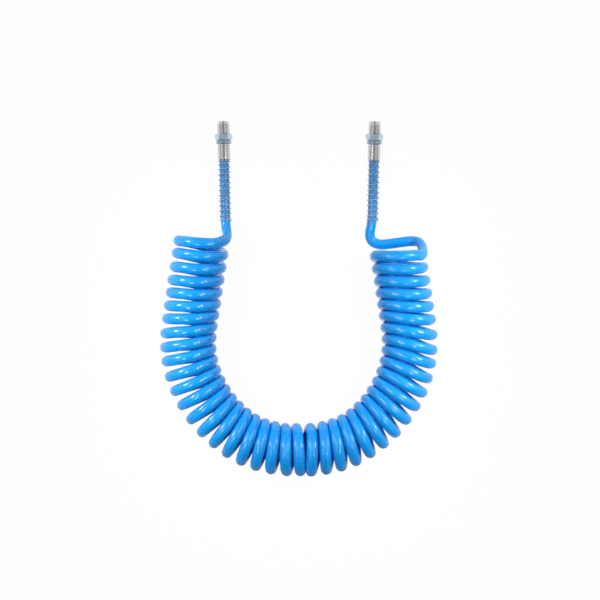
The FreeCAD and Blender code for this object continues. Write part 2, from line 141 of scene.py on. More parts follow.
def travel(curls):
    """How far along the U's axis a number of curls reaches from its lowest point."""
    in_bend = BEND_CURLS / 2
    half_bend = BEND_RADIUS * math.radians(90 + LEG_LEAN)
    if abs(curls) <= in_bend:
        return curls / in_bend * half_bend
    return math.copysign(half_bend + (abs(curls) - in_bend) * LEG_PITCH, curls)


def coil_axis(distance):
    """Point and heading of the U's axis, an arc between two straight legs."""
    most = math.radians(90 + LEG_LEAN)
    angle = min(max(distance / BEND_RADIUS, -most), most)
    heading = Vector((math.cos(angle), math.sin(angle), 0))
    outwards = Vector((math.sin(angle), -math.cos(angle), 0))
    centre = Vector((0, BEND_CENTRE_FORWARD, 0))
    return centre + outwards * BEND_RADIUS + heading * (distance - angle * BEND_RADIUS), heading


def leg_share(curls):
    """0 at the lowest point of the U, growing to 1 on the right leg and to -1 on the left one."""
    quarter = BEND_RADIUS * math.pi / 2
    return math.copysign(smooth_step(abs(travel(curls)) / quarter), curls)


print("axis of the coil, m:", round(travel(CURLS_RIGHT) - travel(-CURLS_LEFT), 3))


# %% One point of a curl
def stray(curls):
    """Lean, distance outwards and shift towards the lowest curl, between the lines of STRAYS."""
    place = abs(curls)
    for (start, *here), (end, *following) in zip(STRAYS, STRAYS[1:]):
        if place <= end:
            share = smooth_step((place - start) / (end - start))
            return [before + (after - before) * share for before, after in zip(here, following)]
    return STRAYS[-1][1:]


def coil_point(curls, spread):
    """The hose's centreline, with the curl widened by spread."""
    phase = 2 * math.pi * curls
    inwards = -math.sin(phase)
    upwards = math.cos(phase)
    lean, outwards, shift = stray(curls)
    past_seam = smooth_step((curls - CURL_LEAN_START) / CURL_LEAN_RUN)
    lean += (CURL_LEAN - 2 * lean) * past_seam
    shift *= 1 - 2 * past_seam
    below = (math.hypot(upwards, CURL_DRAG_BLEND) - upwards) / 2
    drag = CURL_DRAG * max(leg_share(curls), 0) * below
    axis_point, heading = coil_axis(travel(curls + shift + lean * inwards) - drag)
    to_inside = Vector((-heading.y, heading.x, 0))
    radius = BEND_CURL_RADIUS + (LEG_CURL_RADIUS - BEND_CURL_RADIUS) * abs(leg_share(curls))
    height = HOSE_DIAMETER / 2 + radius * (1 + upwards * spread)
    return axis_point + to_inside * (radius * spread * inwards - outwards * MM) + Vector((0, 0, height))


print("top of the lowest curl, mm:", [round(side / MM, 1) for side in coil_point(0, 1)])

# %% [markdown]
# Both fittings lie on their hexagons and splay a little. The left one rises towards the coil, because its
# hose joins the coil higher up. The frame has them in these places, but not as lines that a route can follow,
# so each line is worked out here from a few sizes.
# %% Axes of the fittings
END_SPREAD = 74.3 * MM
END_FORWARD = 174.5 * MM
END_SPLAY = math.radians(1.3)
LEFT_END_RISE = math.radians(5.0)
HEXAGON_WIDTH = 15.0 * MM
HEXAGON_START = 12.5 * MM


def end_axis(side):
    """Where the thread of an end begins, and which way its axis runs towards the coil."""
    rise = LEFT_END_RISE if side == "left" else 0.0
    outwards = -1 if side == "left" else 1
    level = Vector((-outwards * math.sin(END_SPLAY), -math.cos(END_SPLAY), 0))
    along = level * math.cos(rise) + Vector((0, 0, math.sin(rise)))
    height = HEXAGON_WIDTH / 2 * math.cos(rise) - HEXAGON_START * math.sin(rise)
    return Vector((outwards * END_SPREAD, END_FORWARD, height)), along


def along_end(side, distance):
    """A point on the axis of an end, that far from the face of its thread."""
    face, along = end_axis(side)
    return face + along * distance


between_threads = (along_end("right", 0) - along_end("left", 0)).length
print("from one thread to the other, mm:", round(between_threads / MM, 1))

# %% [markdown]
# A smooth spline of order 3 cuts inside its control points, by a known share on a circle. The curls' control
# points are set out wider by that share, so the hose itself has its measured size. Both ends leave their
# fittings in a straight line, and a few listed points bend them into the coil.
# %% Control points of the route
POINTS_PER_CURL = 14
HOSE_START = 25.4 * MM
STRAIGHT_PLACES = (HOSE_START, 40 * MM, 60 * MM, 80 * MM, 94 * MM)
LEFT_BEND = [
    (-71.8, 71.8, 15.7),
    (-70.4, 64.8, 20.4),
    (-70.7, 61.0, 29.6),
    (-74.2, 58.8, 38.8),
    (-80.8, 57.7, 46.7),
]
RIGHT_BEND = [
    (121.2, 45.0, 33.5),
    (121.6, 49.6, 22.0),
    (119.4, 55.6, 11.6),
    (111.5, 56.6, 5.23),
    (100.0, 55.1, 5.03),
    (90.0, 53.7, 5.03),
    (80.0, 52.4, 5.03),
    (71.3, 55.6, 5.03),
    (69.2, 63.0, 5.53),
    (71.0, 71.0, 6.8),
]

step = 2 * math.pi / POINTS_PER_CURL
curl_spread = 8 / (6 + 2 * math.cos(step))
# a point before the top of the first curl, and two past the top of the last one
first = -CURLS_LEFT * POINTS_PER_CURL - 1
last = CURLS_RIGHT * POINTS_PER_CURL + 2
route = [along_end("left", place) for place in STRAIGHT_PLACES]
route += [Vector(point) * MM for point in LEFT_BEND]
coil_first = len(route)
route += [coil_point(count / POINTS_PER_CURL, curl_spread) for count in range(first, last + 1)]
coil_last = len(route) - 1
route += [Vector(point) * MM for point in RIGHT_BEND]
route += [along_end("right", place) for place in reversed(STRAIGHT_PLACES)]
print("control points:", len(route))

# %% Spline
SPLINE_STEPS = 3


def spline_curve(name, points):
    """A smooth open curve with those control points."""
    curve = bpy.data.curves.new(name, "CURVE")
    curve.dimensions = "3D"
    spline = curve.splines.new("NURBS")
    spline.points.add(len(points) - 1)
    for control, point in zip(spline.points, points):
        control.co = (*point, 1)
    spline.order_u = 3
    spline.use_endpoint_u = True
    spline.resolution_u = SPLINE_STEPS
    return curve


def points_of(curve):
    """Points in line along a curve that has no bevel."""
    holder = bpy.data.objects.new("route", curve)
    mesh = bpy.data.meshes.new_from_object(holder)
    points = [vertex.co.copy() for vertex in mesh.vertices]
    bpy.data.objects.remove(holder)
    bpy.data.meshes.remove(mesh)
    return points


hose_line = points_of(spline_curve("hose_route", route))
run = [0.0]
for before, after in zip(hose_line, hose_line[1:]):
    run.append(run[-1] + (after - before).length)
print("hose length, m:", round(run[-1], 3), "points:", len(hose_line))

# %% [markdown]
# ## The hose
# Winding squeezes the tube a little, so its section in the coil is an oval, wider along the coil's axis. Both
# ends stay round. A curve's own bevel would make a round tube that twists as it likes. So a sheet is rolled
# up along the route for the outside and a second one for the bore. Each ring of points turns with the curl,
# because it is laid out from the coil's own axis.
# %% Directions across the hose
curl_window = POINTS_PER_CURL * SPLINE_STEPS
tangents = []
for place in range(len(hose_line)):
    before = hose_line[max(place - 1, 0)]
    after = hose_line[min(place + 1, len(hose_line) - 1)]
    tangents.append((after - before).normalized())

outwards = [None] * len(hose_line)
safe = coil_first * SPLINE_STEPS + curl_window // 2
safe_end = coil_last * SPLINE_STEPS - curl_window // 2
for place in range(safe, safe_end):
    window = hose_line[place - curl_window // 2 : place + curl_window // 2]
    middle = sum(window, Vector()) / len(window)
    across = hose_line[place] - middle
    outwards[place] = (across - tangents[place] * across.dot(tangents[place])).normalized()
for place in range(safe - 1, -1, -1):
    turn = tangents[place + 1].rotation_difference(tangents[place])
    outwards[place] = turn @ outwards[place + 1]
for place in range(safe_end, len(hose_line)):
    turn = tangents[place - 1].rotation_difference(tangents[place])
    outwards[place] = turn @ outwards[place - 1]
print("rings laid out from the coil's axis:", safe_end - safe, "of", len(outwards))

# %% Section of the tube
HOSE_BORE = 6.35 * MM
# half the thickness and half the width of the oval
OVAL_FLAT = 4.68 * MM
OVAL_WIDE = 5.1 * MM
TOP_WIDENING = 0.35 * MM
BEND_TOP_WIDENING = 0.2 * MM
BEND_INSIDE_NARROWING = 0.15 * MM
OVAL_RUN = 30 * MM
# just past the spring guard, from the face of the thread
GUARD_END = 98.5 * MM
straight_run = GUARD_END - HOSE_START


def oval_share(place):
    """0 on the round ends and 1 in the coil."""
    to_end = min(run[place], run[-1] - run[place]) - straight_run
    return smooth_step(to_end / OVAL_RUN)


def oval_width(place):
    """Half the width of the section along the coil's axis: widest over the top of a curl at the bend."""
    curls = (first + place / SPLINE_STEPS - coil_first) / POINTS_PER_CURL
    curls = min(max(curls, -CURLS_LEFT), CURLS_RIGHT)
    phase = 2 * math.pi * curls
    upwards = max(math.cos(phase), 0)
    inwards = max(-math.sin(phase), 0)
    bend = 1 - abs(leg_share(curls))
    widening = upwards * (TOP_WIDENING + bend * BEND_TOP_WIDENING)
    return OVAL_WIDE + widening - inwards * bend * BEND_INSIDE_NARROWING


print("oval, mm:", round(2 * OVAL_FLAT / MM, 2), "by", round(2 * OVAL_WIDE / MM, 2))

# %% Roll up the tube
OUTSIDE_SIDES = 24
BORE_SIDES = 12
SAME_PLACE = 1e-6
wall = (HOSE_DIAMETER - HOSE_BORE) / 2


def rolled_tube(mesh, sides, inset, outside):
    """Adds a sheet to the mesh and rolls it up along the hose. Its UV runs in metres along the hose."""
    layer = mesh.loops.layers.uv.verify()
    spans = len(hose_line) - 1
    made = bmesh.ops.create_grid(mesh, x_segments=spans, y_segments=sides, size=0.5, calc_uvs=True)
    sheet = {face for vertex in made["verts"] for face in vertex.link_faces}
    for face in sheet:
        for loop in face.loops:
            loop[layer].uv.x = run[round(loop[layer].uv.x * spans)]
    for vertex in made["verts"]:
        place = round((vertex.co.x + 0.5) * spans)
        angle = 2 * math.pi * (vertex.co.y + 0.5) * (1 if outside else -1)
        share = oval_share(place)
        flat = HOSE_DIAMETER / 2 + (OVAL_FLAT - HOSE_DIAMETER / 2) * share - inset
        wide = HOSE_DIAMETER / 2 + (oval_width(place) - HOSE_DIAMETER / 2) * share - inset
        across = outwards[place]
        sideways = tangents[place].cross(across)
        offset = across * (flat * math.cos(angle)) + sideways * (wide * math.sin(angle))
        vertex.co = hose_line[place] + offset
    bmesh.ops.remove_doubles(mesh, verts=made["verts"], dist=SAME_PLACE)


tube = bmesh.new()
tube.loops.layers.uv.new("along_hose")
rolled_tube(tube, OUTSIDE_SIDES, 0, True)
rolled_tube(tube, BORE_SIDES, wall, False)
open_edges = [edge for edge in tube.edges if edge.is_boundary]
for end in (hose_line[0], hose_line[-1]):
    rims = [edge for edge in open_edges if (edge.verts[0].co - end).length < HOSE_DIAMETER]
    bmesh.ops.bridge_loops(tube, edges=rims)
bmesh.ops.recalc_face_normals(tube, faces=tube.faces)


# %% The hose as an object
def finished(name, mesh):
    """A smooth object of that name from a bmesh, which is freed."""
    data = bpy.data.meshes.new(name)
    mesh.to_mesh(data)
    mesh.free()
    for face in data.polygons:
        face.use_smooth = True
    piece = bpy.data.objects.new(name, data)
    bpy.context.scene.collection.objects.link(piece)
    return piece


hose = finished("hose", tube)
print("hose faces:", len(hose.data.polygons))

# %% [markdown]
# ## The fittings
# Each swivel body is one turned piece: a G 1/4 thread with 19 threads to the inch, a 15 mm hexagon whose
# corners are bevelled off in arcs, and a round collar. A Screw modifier winds a thread too. Here the thread
# is also cut down to a cone at its tip, so that it starts easily, cut square at both ends and closed through
# the air passage. So one tooth is spun round and up the axis in a bmesh, where each of these steps is an
# operator.
# %% Thread
THREAD_PITCH = 25.4 / 19
THREAD_CREST = 6.5785
THREAD_ROOT = 5.722
THREAD_END = 13.0
THREAD_STEPS = 48
CONE_DEPTH = 1.25
CONE_LENGTH = 4.0
# one tooth: radius in mm, and share of a pitch along the axis
TOOTH = [
    (THREAD_ROOT, 0),
    (THREAD_ROOT, 0.1),
    (THREAD_CREST, 0.43),
    (THREAD_CREST, 0.57),
    (THREAD_ROOT, 0.9),
    (THREAD_ROOT, 1),
]


def wound_tooth():
    """The tooth wound up the axis, a little past both ends of the thread, with a cone at its tip."""
    mesh = bmesh.new()
    start = [mesh.verts.new((radius * MM, 0, (share - 2) * THREAD_PITCH * MM)) for radius, share in TOOTH]
    edges = [mesh.edges.new(pair) for pair in zip(start, start[1:])]
    turns = math.ceil(THREAD_END / THREAD_PITCH) + 3
    climb = (0, 0, THREAD_PITCH * MM / THREAD_STEPS)
    spun = {"cent": (0, 0, 0), "axis": (0, 0, 1), "angle": 2 * math.pi * turns}
    bmesh.ops.spin(mesh, geom=start + edges, dvec=climb, steps=THREAD_STEPS * turns, **spun)
    bmesh.ops.remove_doubles(mesh, verts=mesh.verts, dist=5 * SAME_PLACE)
    for vertex in mesh.verts:
        radius = math.hypot(vertex.co.x, vertex.co.y)
        share = min(max(vertex.co.z / MM / CONE_LENGTH, 0), 1)
        most = (THREAD_CREST - CONE_DEPTH * (1 - share)) * MM
        if radius > most:
            vertex.co.xy *= most / radius
    return mesh


stub = wound_tooth()
print("wound faces:", len(stub.faces))

# %% Square ends and air passage
PORT_RADIUS = 3.0
PORT_MOUTH = 3.7
PORT_FLARE = 0.7

for height, facing in ((0, -1), (THREAD_END * MM, 1)):
    geometry = stub.verts[:] + stub.edges[:] + stub.faces[:]
    cut = {"plane_co": (0, 0, height), "plane_no": (0, 0, facing)}
    bmesh.ops.bisect_plane(stub, geom=geometry, dist=SAME_PLACE, clear_outer=True, **cut)
rim = [edge for edge in stub.edges if edge.is_boundary]
front = [edge for edge in rim if edge.verts[0].co.z < MM]
rear = [edge for edge in rim if edge.verts[0].co.z > MM]
rings = [front]
for radius, height in ((PORT_MOUTH, 0), (PORT_RADIUS, PORT_FLARE), (PORT_RADIUS, THREAD_END)):
    place = Matrix.Translation((0, 0, height * MM))
    made = bmesh.ops.create_circle(stub, segments=THREAD_STEPS, radius=radius * MM, matrix=place)
    rings.append(list({edge for vertex in made["verts"] for edge in vertex.link_edges}))
rings.append(rear)
for ring, following in zip(rings, rings[1:]):
    bmesh.ops.bridge_loops(stub, edges=ring + following)
bmesh.ops.recalc_face_normals(stub, faces=stub.faces)
print("thread faces:", len(stub.faces))

# %% [markdown]
# The hexagon is bar stock whose corners a lathe has cut back to a cone at each end. The arcs on its flats are
# where the cones meet the prism, and no bevel of the prism's edges gives them. So the prism is cut with a
# turned shape, as on the lathe. The collar is a turned shape that is joined on, and the bore is one that is
# cut out.
# %% Turned shapes and cuts
TURN_STEPS = 96


def lathe(outline):
    """A closed turned shape round the Z axis. The outline is a loop of pairs: radius, distance in mm."""
    mesh = bmesh.new()
    corners = [mesh.verts.new((radius * MM, 0, distance * MM)) for radius, distance in outline]
    edges = [mesh.edges.new(pair) for pair in zip(corners, corners[1:] + corners[:1])]
    spun = {"cent": (0, 0, 0), "axis": (0, 0, 1), "angle": 2 * math.pi, "steps": TURN_STEPS}
    bmesh.ops.spin(mesh, geom=corners + edges, use_merge=True, **spun)
    bmesh.ops.remove_doubles(mesh, verts=mesh.verts, dist=SAME_PLACE)
    bmesh.ops.dissolve_degenerate(mesh, edges=mesh.edges, dist=SAME_PLACE / 10)
    bmesh.ops.recalc_face_normals(mesh, faces=mesh.faces)
    return mesh


def applied(piece):
    """A new mesh of the piece with its modifiers applied."""
    graph = bpy.context.evaluated_depsgraph_get()
    return bpy.data.meshes.new_from_object(piece.evaluated_get(graph))


def carve(piece, operation, tool):
    """Joins, cuts or intersects the piece with a bmesh, which is freed."""
    helper = finished("helper", tool)
    modifier = piece.modifiers.new("shape", "BOOLEAN")
    modifier.operation = operation
    modifier.object = helper
    modifier.solver = "EXACT"
    carved = applied(piece)
    piece.modifiers.clear()
    piece.data = carved
    bpy.data.objects.remove(helper)


# %% Hexagon
HEXAGON_END = 18.3
HEXAGON_BEVEL = math.radians(30)
BEVEL_REACH = 1.6
FLAT_END_INSET = 0.35
half = HEXAGON_WIDTH / MM / 2
start = HEXAGON_START / MM
flat_turn = math.radians(30)

prism = bmesh.new()
middle = Matrix.Translation((0, 0, (start + HEXAGON_END) / 2 * MM))
corner = half / math.cos(flat_turn) * MM
solid = {"cap_ends": True, "segments": 6, "radius1": corner, "radius2": corner}
solid["matrix"] = middle @ Matrix.Rotation(flat_turn, 4, "Z")
bmesh.ops.create_cone(prism, depth=(HEXAGON_END - start) * MM, **solid)
nut = finished("swivel", prism)
slant = BEVEL_REACH * math.tan(HEXAGON_BEVEL)
face = half - FLAT_END_INSET
bevels = [
    (0, start),
    (face, start),
    (face + BEVEL_REACH, start + slant),
    (face + BEVEL_REACH, HEXAGON_END - slant),
    (face, HEXAGON_END),
    (0, HEXAGON_END),
]
carve(nut, "INTERSECT", lathe(bevels))
print("hexagon faces:", len(nut.data.polygons))

# %% Collar and bore
COLLAR_RADIUS = 7.35
COLLAR_END = 22.7
COLLAR_CHAMFER = 0.6
GROOVE_DEPTH = 0.7
GROOVE_WIDTH = 0.5
GROOVE_SLOPE = 0.15
SWIVEL_BORE = 4.6
BORE_FLOOR = 0.4
FLARE_WIDTH = 0.5
FLARE_DEPTH = 0.3
# the collar starts this far behind the hexagon's front, and the cutter of the bore this far ahead of it
FRONT_MARGIN = 1.0
# how far the cutter stands out of the collar
CUTTER_OUT = 0.2
groove_end = HEXAGON_END + GROOVE_WIDTH

collar = [
    (0, start + FRONT_MARGIN),
    (COLLAR_RADIUS - GROOVE_DEPTH, start + FRONT_MARGIN),
    (COLLAR_RADIUS - GROOVE_DEPTH, groove_end),
    (COLLAR_RADIUS, groove_end + GROOVE_SLOPE),
    (COLLAR_RADIUS, COLLAR_END - COLLAR_CHAMFER),
    (COLLAR_RADIUS - COLLAR_CHAMFER, COLLAR_END),
    (0, COLLAR_END),
]
carve(nut, "UNION", lathe(collar))
bore = [
    (0, start - FRONT_MARGIN),
    (PORT_RADIUS, start - FRONT_MARGIN),
    (PORT_RADIUS, start + BORE_FLOOR),
    (SWIVEL_BORE, start + BORE_FLOOR),
    (SWIVEL_BORE, COLLAR_END - FLARE_DEPTH),
    (SWIVEL_BORE + FLARE_WIDTH, COLLAR_END + CUTTER_OUT),
    (0, COLLAR_END + CUTTER_OUT),
]
carve(nut, "DIFFERENCE", lathe(bore))
print("hexagon and collar faces:", len(nut.data.polygons))

# %% Rounded edges
EDGE_ROUNDING = 0.12 * MM
EDGE_ANGLE = math.radians(25)
# numbers of the finishes, of which 0 is the thread's, and where the collar's begins behind the hexagon, in mm
HEXAGON_FINISH = 1
COLLAR_FINISH = 2
BEHIND_HEXAGON = 0.02

edges = nut.modifiers.new("edges", "BEVEL")
edges.width = EDGE_ROUNDING
edges.segments = 2
edges.angle_limit = EDGE_ANGLE
rounded = applied(nut)
bpy.data.objects.remove(nut)
collar_from = (HEXAGON_END + BEHIND_HEXAGON) * MM
for face in rounded.polygons:
    face.material_index = COLLAR_FINISH if face.center.z > collar_from else HEXAGON_FINISH
stub.from_mesh(rounded)
print("faces of a whole swivel body:", len(stub.faces))

# %% Both swivel bodies
SHARP_ANGLE = math.radians(28)


def end_matrix(side):
    """Stands a piece drawn along Z on an end of the hose, with its Y turned upwards."""
    face, along = end_axis(side)
    sideways = along.cross(Vector((0, 0, 1))).normalized()
    upwards = sideways.cross(along)
    turned = Matrix((sideways, upwards, along)).transposed()
    return Matrix.Translation(face) @ turned.to_4x4()


swivels = {}
for side in ("left", "right"):
    copy = stub.copy()
    bmesh.ops.transform(copy, matrix=end_matrix(side), verts=copy.verts)
    swivels[side] = finished(f"threaded_swivel_{side}", copy)
    swivels[side].data.set_sharp_from_angle(angle=SHARP_ANGLE)
stub.free()
print("swivel bodies:", [piece.name for piece in swivels.values()])

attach(hose, "hose")
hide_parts("hose_coil", "hose_lead_left", "hose_lead_right")
for side, swivel in swivels.items():
    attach(swivel, f"swivel_{side}")
    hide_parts(f"swivel_body_{side}")


# %% [markdown]
# ## Finishes
# Every finish is worked out from nodes, because an image would have to be drawn and unwrapped for each piece.
# Two effects are shared: a fine unevenness that a real surface has under its gloss, and the cloudy, duller
# patches of plated metal. Each is a node group that is built once and placed with its own values.
# %% Node helpers
CLOUD_DETAIL = 3.0


def new_material(name):
    """A material with its nodes and links."""
    material = bpy.data.materials.new(name)
    material.use_nodes = True
    return material, material.node_tree.nodes, material.node_tree.links


def noise(nodes, links, vector, scale, detail=CLOUD_DETAIL, roughness=0.5):
    """Cloudy values from 0 to 1 that follow a vector."""
    node = nodes.new("ShaderNodeTexNoise")
    node.inputs["Scale"].default_value = scale
    node.inputs["Detail"].default_value = detail
    node.inputs["Roughness"].default_value = roughness
    links.new(vector, node.inputs["Vector"])
    return node.outputs["Fac"]


def remap(nodes, links, value, low, high, new_low, new_high):
    """Spreads the values between low and high over new ones, and holds those past them."""
    node = nodes.new("ShaderNodeMapRange")
    node.inputs["From Min"].default_value = low
    node.inputs["From Max"].default_value = high
    node.inputs["To Min"].default_value = new_low
    node.inputs["To Max"].default_value = new_high
    links.new(value, node.inputs["Value"])
    return node.outputs["Result"]


def calculate(nodes, links, operation, *values):
    """One step of arithmetic on values, each of them a number or the output of another node."""
    node = nodes.new("ShaderNodeMath")
    node.operation = operation
    for socket, value in zip(node.inputs, values):
        if isinstance(value, float):
            socket.default_value = value
        else:
            links.new(value, socket)
    return node.outputs[0]


def blend_colour(nodes, links, share, first_colour, second_colour):
    """From the first colour to the second one, each of them a value or the output of another node."""
    node = nodes.new("ShaderNodeMix")
    node.data_type = "RGBA"
    links.new(share, node.inputs["Factor"])
    # the node has an A and a B for each kind of value, and 6 and 7 are those for colours
    for socket, colour in ((node.inputs[6], first_colour), (node.inputs[7], second_colour)):
        if isinstance(colour, tuple):
            socket.default_value = colour
        else:
            links.new(colour, socket)
    return node.outputs[2]


def component(nodes, links, vector, axis):
    """The X, Y or Z of a vector."""
    node = nodes.new("ShaderNodeSeparateXYZ")
    links.new(vector, node.inputs[0])
    return node.outputs[axis]


# %% Shared effects
def new_group(name, inputs, outputs):
    """A shader node group. Inputs are pairs of name and default, outputs are pairs of name and kind."""
    group = bpy.data.node_groups.new(name, "ShaderNodeTree")
    for label, default in inputs:
        kind = "NodeSocketColor" if isinstance(default, tuple) else "NodeSocketFloat"
        socket = group.interface.new_socket(label, in_out="INPUT", socket_type=kind)
        socket.default_value = default
    for label, kind in outputs:
        group.interface.new_socket(label, in_out="OUTPUT", socket_type=kind)
    return group, group.nodes.new("NodeGroupInput"), group.nodes.new("NodeGroupOutput")


def add_group(nodes, group, **values):
    """Places a node group and sets its inputs."""
    node = nodes.new("ShaderNodeGroup")
    node.node_tree = group
    for label, value in values.items():
        node.inputs[label.replace("_", " ")].default_value = value
    return node


uneven, inside, outside = new_group(
    "uneven_surface",
    [("Scale", 60.0), ("Depth", 0.00002)],
    [("Normal", "NodeSocketVector")],
)
place = uneven.nodes.new("ShaderNodeTexCoord")
texture = uneven.nodes.new("ShaderNodeTexNoise")
texture.inputs["Detail"].default_value = 2.0
bump = uneven.nodes.new("ShaderNodeBump")
bump.inputs["Strength"].default_value = 1.0
uneven.links.new(place.outputs["Object"], texture.inputs["Vector"])
uneven.links.new(inside.outputs["Scale"], texture.inputs["Scale"])
uneven.links.new(inside.outputs["Depth"], bump.inputs["Distance"])
uneven.links.new(texture.outputs["Fac"], bump.inputs["Height"])
uneven.links.new(bump.outputs["Normal"], outside.inputs["Normal"])

# %% Duller patches
# scale, detail and roughness of the clouds, how they are remapped, and how much rougher the dull parts are
CLOUDS = (240.0, 4.0, 0.6)
CLOUDS_TO_DULL = (0.45, 0.75, 0.0, 0.7)
DULL_ROUGHER = 0.15

plating, inside, outside = new_group(
    "plated_surface",
    [("Colour", (0.8, 0.8, 0.8, 1.0)), ("Dull Colour", (0.5, 0.5, 0.5, 1.0)), ("Roughness", 0.25)],
    [("Colour", "NodeSocketColor"), ("Roughness", "NodeSocketFloat")],
)
nodes = plating.nodes
links = plating.links
place = nodes.new("ShaderNodeTexCoord")
clouds = noise(nodes, links, place.outputs["Object"], *CLOUDS)
dull = remap(nodes, links, clouds, *CLOUDS_TO_DULL)
mixed = blend_colour(nodes, links, dull, inside.outputs["Colour"], inside.outputs["Dull Colour"])
rougher = calculate(nodes, links, "MULTIPLY_ADD", dull, DULL_ROUGHER, inside.outputs["Roughness"])
links.new(mixed, outside.inputs["Colour"])
links.new(rougher, outside.inputs["Roughness"])
print("shared effects:", uneven.name, plating.name)

# %% [markdown]
# Polyurethane tube is coloured all through and glossy. A few long streaks of a deeper blue run along it, from
# its own UV map, so that they follow every curl. Under the spring guards the tube is painted a duller, darker
# blue, as painted shade of the wire. A slow wave in the gloss keeps the small bright spots from being all
# alike.
# %% Blue polyurethane
FRESH_BLUE = (0.004, 0.335, 0.88, 1)
DEEP_BLUE = (0.003, 0.3, 0.83, 1)
HOSE_IOR = 1.5
# streaks to the metre along the hose, and round it
STREAK_SCALE = (9.0, 6.0, 1.0)
STREAKS_TO_TINT = (0.35, 0.7, 0.0, 1.0)

blue, nodes, links = new_material("glossy_blue_hose")
shader = nodes["Principled BSDF"]
shader.inputs["IOR"].default_value = HOSE_IOR
place = nodes.new("ShaderNodeTexCoord")
streak = nodes.new("ShaderNodeMapping")
streak.inputs["Scale"].default_value = STREAK_SCALE
links.new(place.outputs["UV"], streak.inputs["Vector"])
streaks = noise(nodes, links, streak.outputs["Vector"], 1.0)
tint = remap(nodes, links, streaks, *STREAKS_TO_TINT)
body_colour = blend_colour(nodes, links, tint, FRESH_BLUE, DEEP_BLUE)
print("streaks along the hose:", round(STREAK_SCALE[0] * run[-1]))

# %% Painted shade under the guards
# painted shade: under the spring guards the tube takes this duller, darker blue for the wire's shade
GUARD_SHADE_BLUE = (0.05, 0.25, 0.56, 1)
GUARD_EDGE = 4 * MM

along = component(nodes, links, place.outputs["UV"], "X")
from_middle = calculate(nodes, links, "SUBTRACT", along, run[-1] / 2)
distance = calculate(nodes, links, "ABSOLUTE", from_middle)
guard_from = run[-1] / 2 - straight_run
# painted shade: 0 outside the guards and 1 under them, where the blue is darkened
guard_shade_mask = remap(nodes, links, distance, guard_from - GUARD_EDGE, guard_from + GUARD_EDGE, 0.0, 1.0)
guard_shaded_colour = blend_colour(nodes, links, guard_shade_mask, body_colour, GUARD_SHADE_BLUE)
links.new(guard_shaded_colour, shader.inputs["Base Color"])
print("shaded from each end, mm:", round(straight_run / MM, 1))

# %% Gloss of the hose
WORN_SCALE = 90.0
WORN_TO_ROUGHNESS = (0.3, 0.7, 0.12, 0.15)

worn = noise(nodes, links, place.outputs["Object"], WORN_SCALE)
links.new(remap(nodes, links, worn, *WORN_TO_ROUGHNESS), shader.inputs["Roughness"])
waves = add_group(nodes, uneven, Scale=45.0, Depth=0.00006)
links.new(waves.outputs["Normal"], shader.inputs["Normal"])
hose.data.materials.append(blue)
print("hose finish:", blue.name)


# %% [markdown]
# The fittings are plated brass, with nickel on the thread and the stem, a bluish zinc on the hexagon and a
# darker, bluer metal colour on the collar. The ferrule has a greyer, glossy plating, and the spring wire is
# grey steel with a painted reflection of the blue hose round it in its colour. One function makes all of
# them, because they differ only in colour and gloss.
# %% Metals
def metal(name, colour, dull_colour, roughness):
    """A plated or turned metal with cloudy, rougher patches."""
    material, nodes, links = new_material(name)
    shader = nodes["Principled BSDF"]
    shader.inputs["Metallic"].default_value = 1.0
    surface = add_group(nodes, plating, Colour=colour, Dull_Colour=dull_colour, Roughness=roughness)
    links.new(surface.outputs["Colour"], shader.inputs["Base Color"])
    links.new(surface.outputs["Roughness"], shader.inputs["Roughness"])
    waves = add_group(nodes, uneven, Scale=900.0, Depth=0.00001)
    links.new(waves.outputs["Normal"], shader.inputs["Normal"])
    return material


nickel = metal("nickel_plating", (0.78, 0.79, 0.8, 1), (0.62, 0.62, 0.63, 1), 0.2)
zinc = metal("blue_zinc_plating", (0.63, 0.74, 0.86, 1), (0.5, 0.62, 0.76, 1), 0.42)
# the collar takes a darker, bluer metal colour than the hexagon
collar_blue_metal = metal("dark_blue_collar_metal", (0.38, 0.48, 0.6, 1), (0.28, 0.37, 0.5, 1), 0.3)
chrome = metal("bright_plating", (0.64, 0.64, 0.65, 1), (0.52, 0.52, 0.53, 1), 0.21)
# painted reflection: the grey spring steel is tinted blue for the hose round it
spring = metal("spring_wire_with_painted_blue", (0.42, 0.57, 0.75, 1), (0.34, 0.47, 0.64, 1), 0.35)
print("metals:", [finish.name for finish in (nickel, zinc, collar_blue_metal, chrome, spring)])

# %% [markdown]
# The O-rings are black nitrile rubber with a faint grey bloom in patches. They sit out of sight in the
# swivel, so one cloudy noise does for both their colour and their gloss.
# %% Rubber
BLACK_RUBBER = (0.012, 0.012, 0.012, 1)
BLOOMED_RUBBER = (0.035, 0.035, 0.038, 1)
BLOOM_SCALE = 500.0
BLOOM_TO_ROUGHNESS = (0.3, 0.7, 0.4, 0.6)

rubber, nodes, links = new_material("nitrile_rubber")
shader = nodes["Principled BSDF"]
place = nodes.new("ShaderNodeTexCoord")
bloom = noise(nodes, links, place.outputs["Object"], BLOOM_SCALE)
bloomed = blend_colour(nodes, links, bloom, BLACK_RUBBER, BLOOMED_RUBBER)
links.new(bloomed, shader.inputs["Base Color"])
links.new(remap(nodes, links, bloom, *BLOOM_TO_ROUGHNESS), shader.inputs["Roughness"])
print("seal finish:", rubber.name)

# %% [markdown]
# A swivel body takes three finishes, in the order of the numbers that its faces were given. Whatever material
# a piece of the frame brings is taken off first.
# %% Finish each piece
NODE_FINISH = {
    "hose_stem": nickel,
    "o_ring": rubber,
    "snap_ring": spring,
    "ferrule": chrome,
    "spring_guard": spring,
}

for side in ("left", "right"):
    for finish in (nickel, zinc, collar_blue_metal):
        swivels[side].data.materials.append(finish)
    for noun, finish in NODE_FINISH.items():
        node = frame["nodes"][f"{noun}_{side}"]
        node.data.materials.clear()
        node.data.materials.append(finish)
print("finished pieces of the frame:", 2 * len(NODE_FINISH))

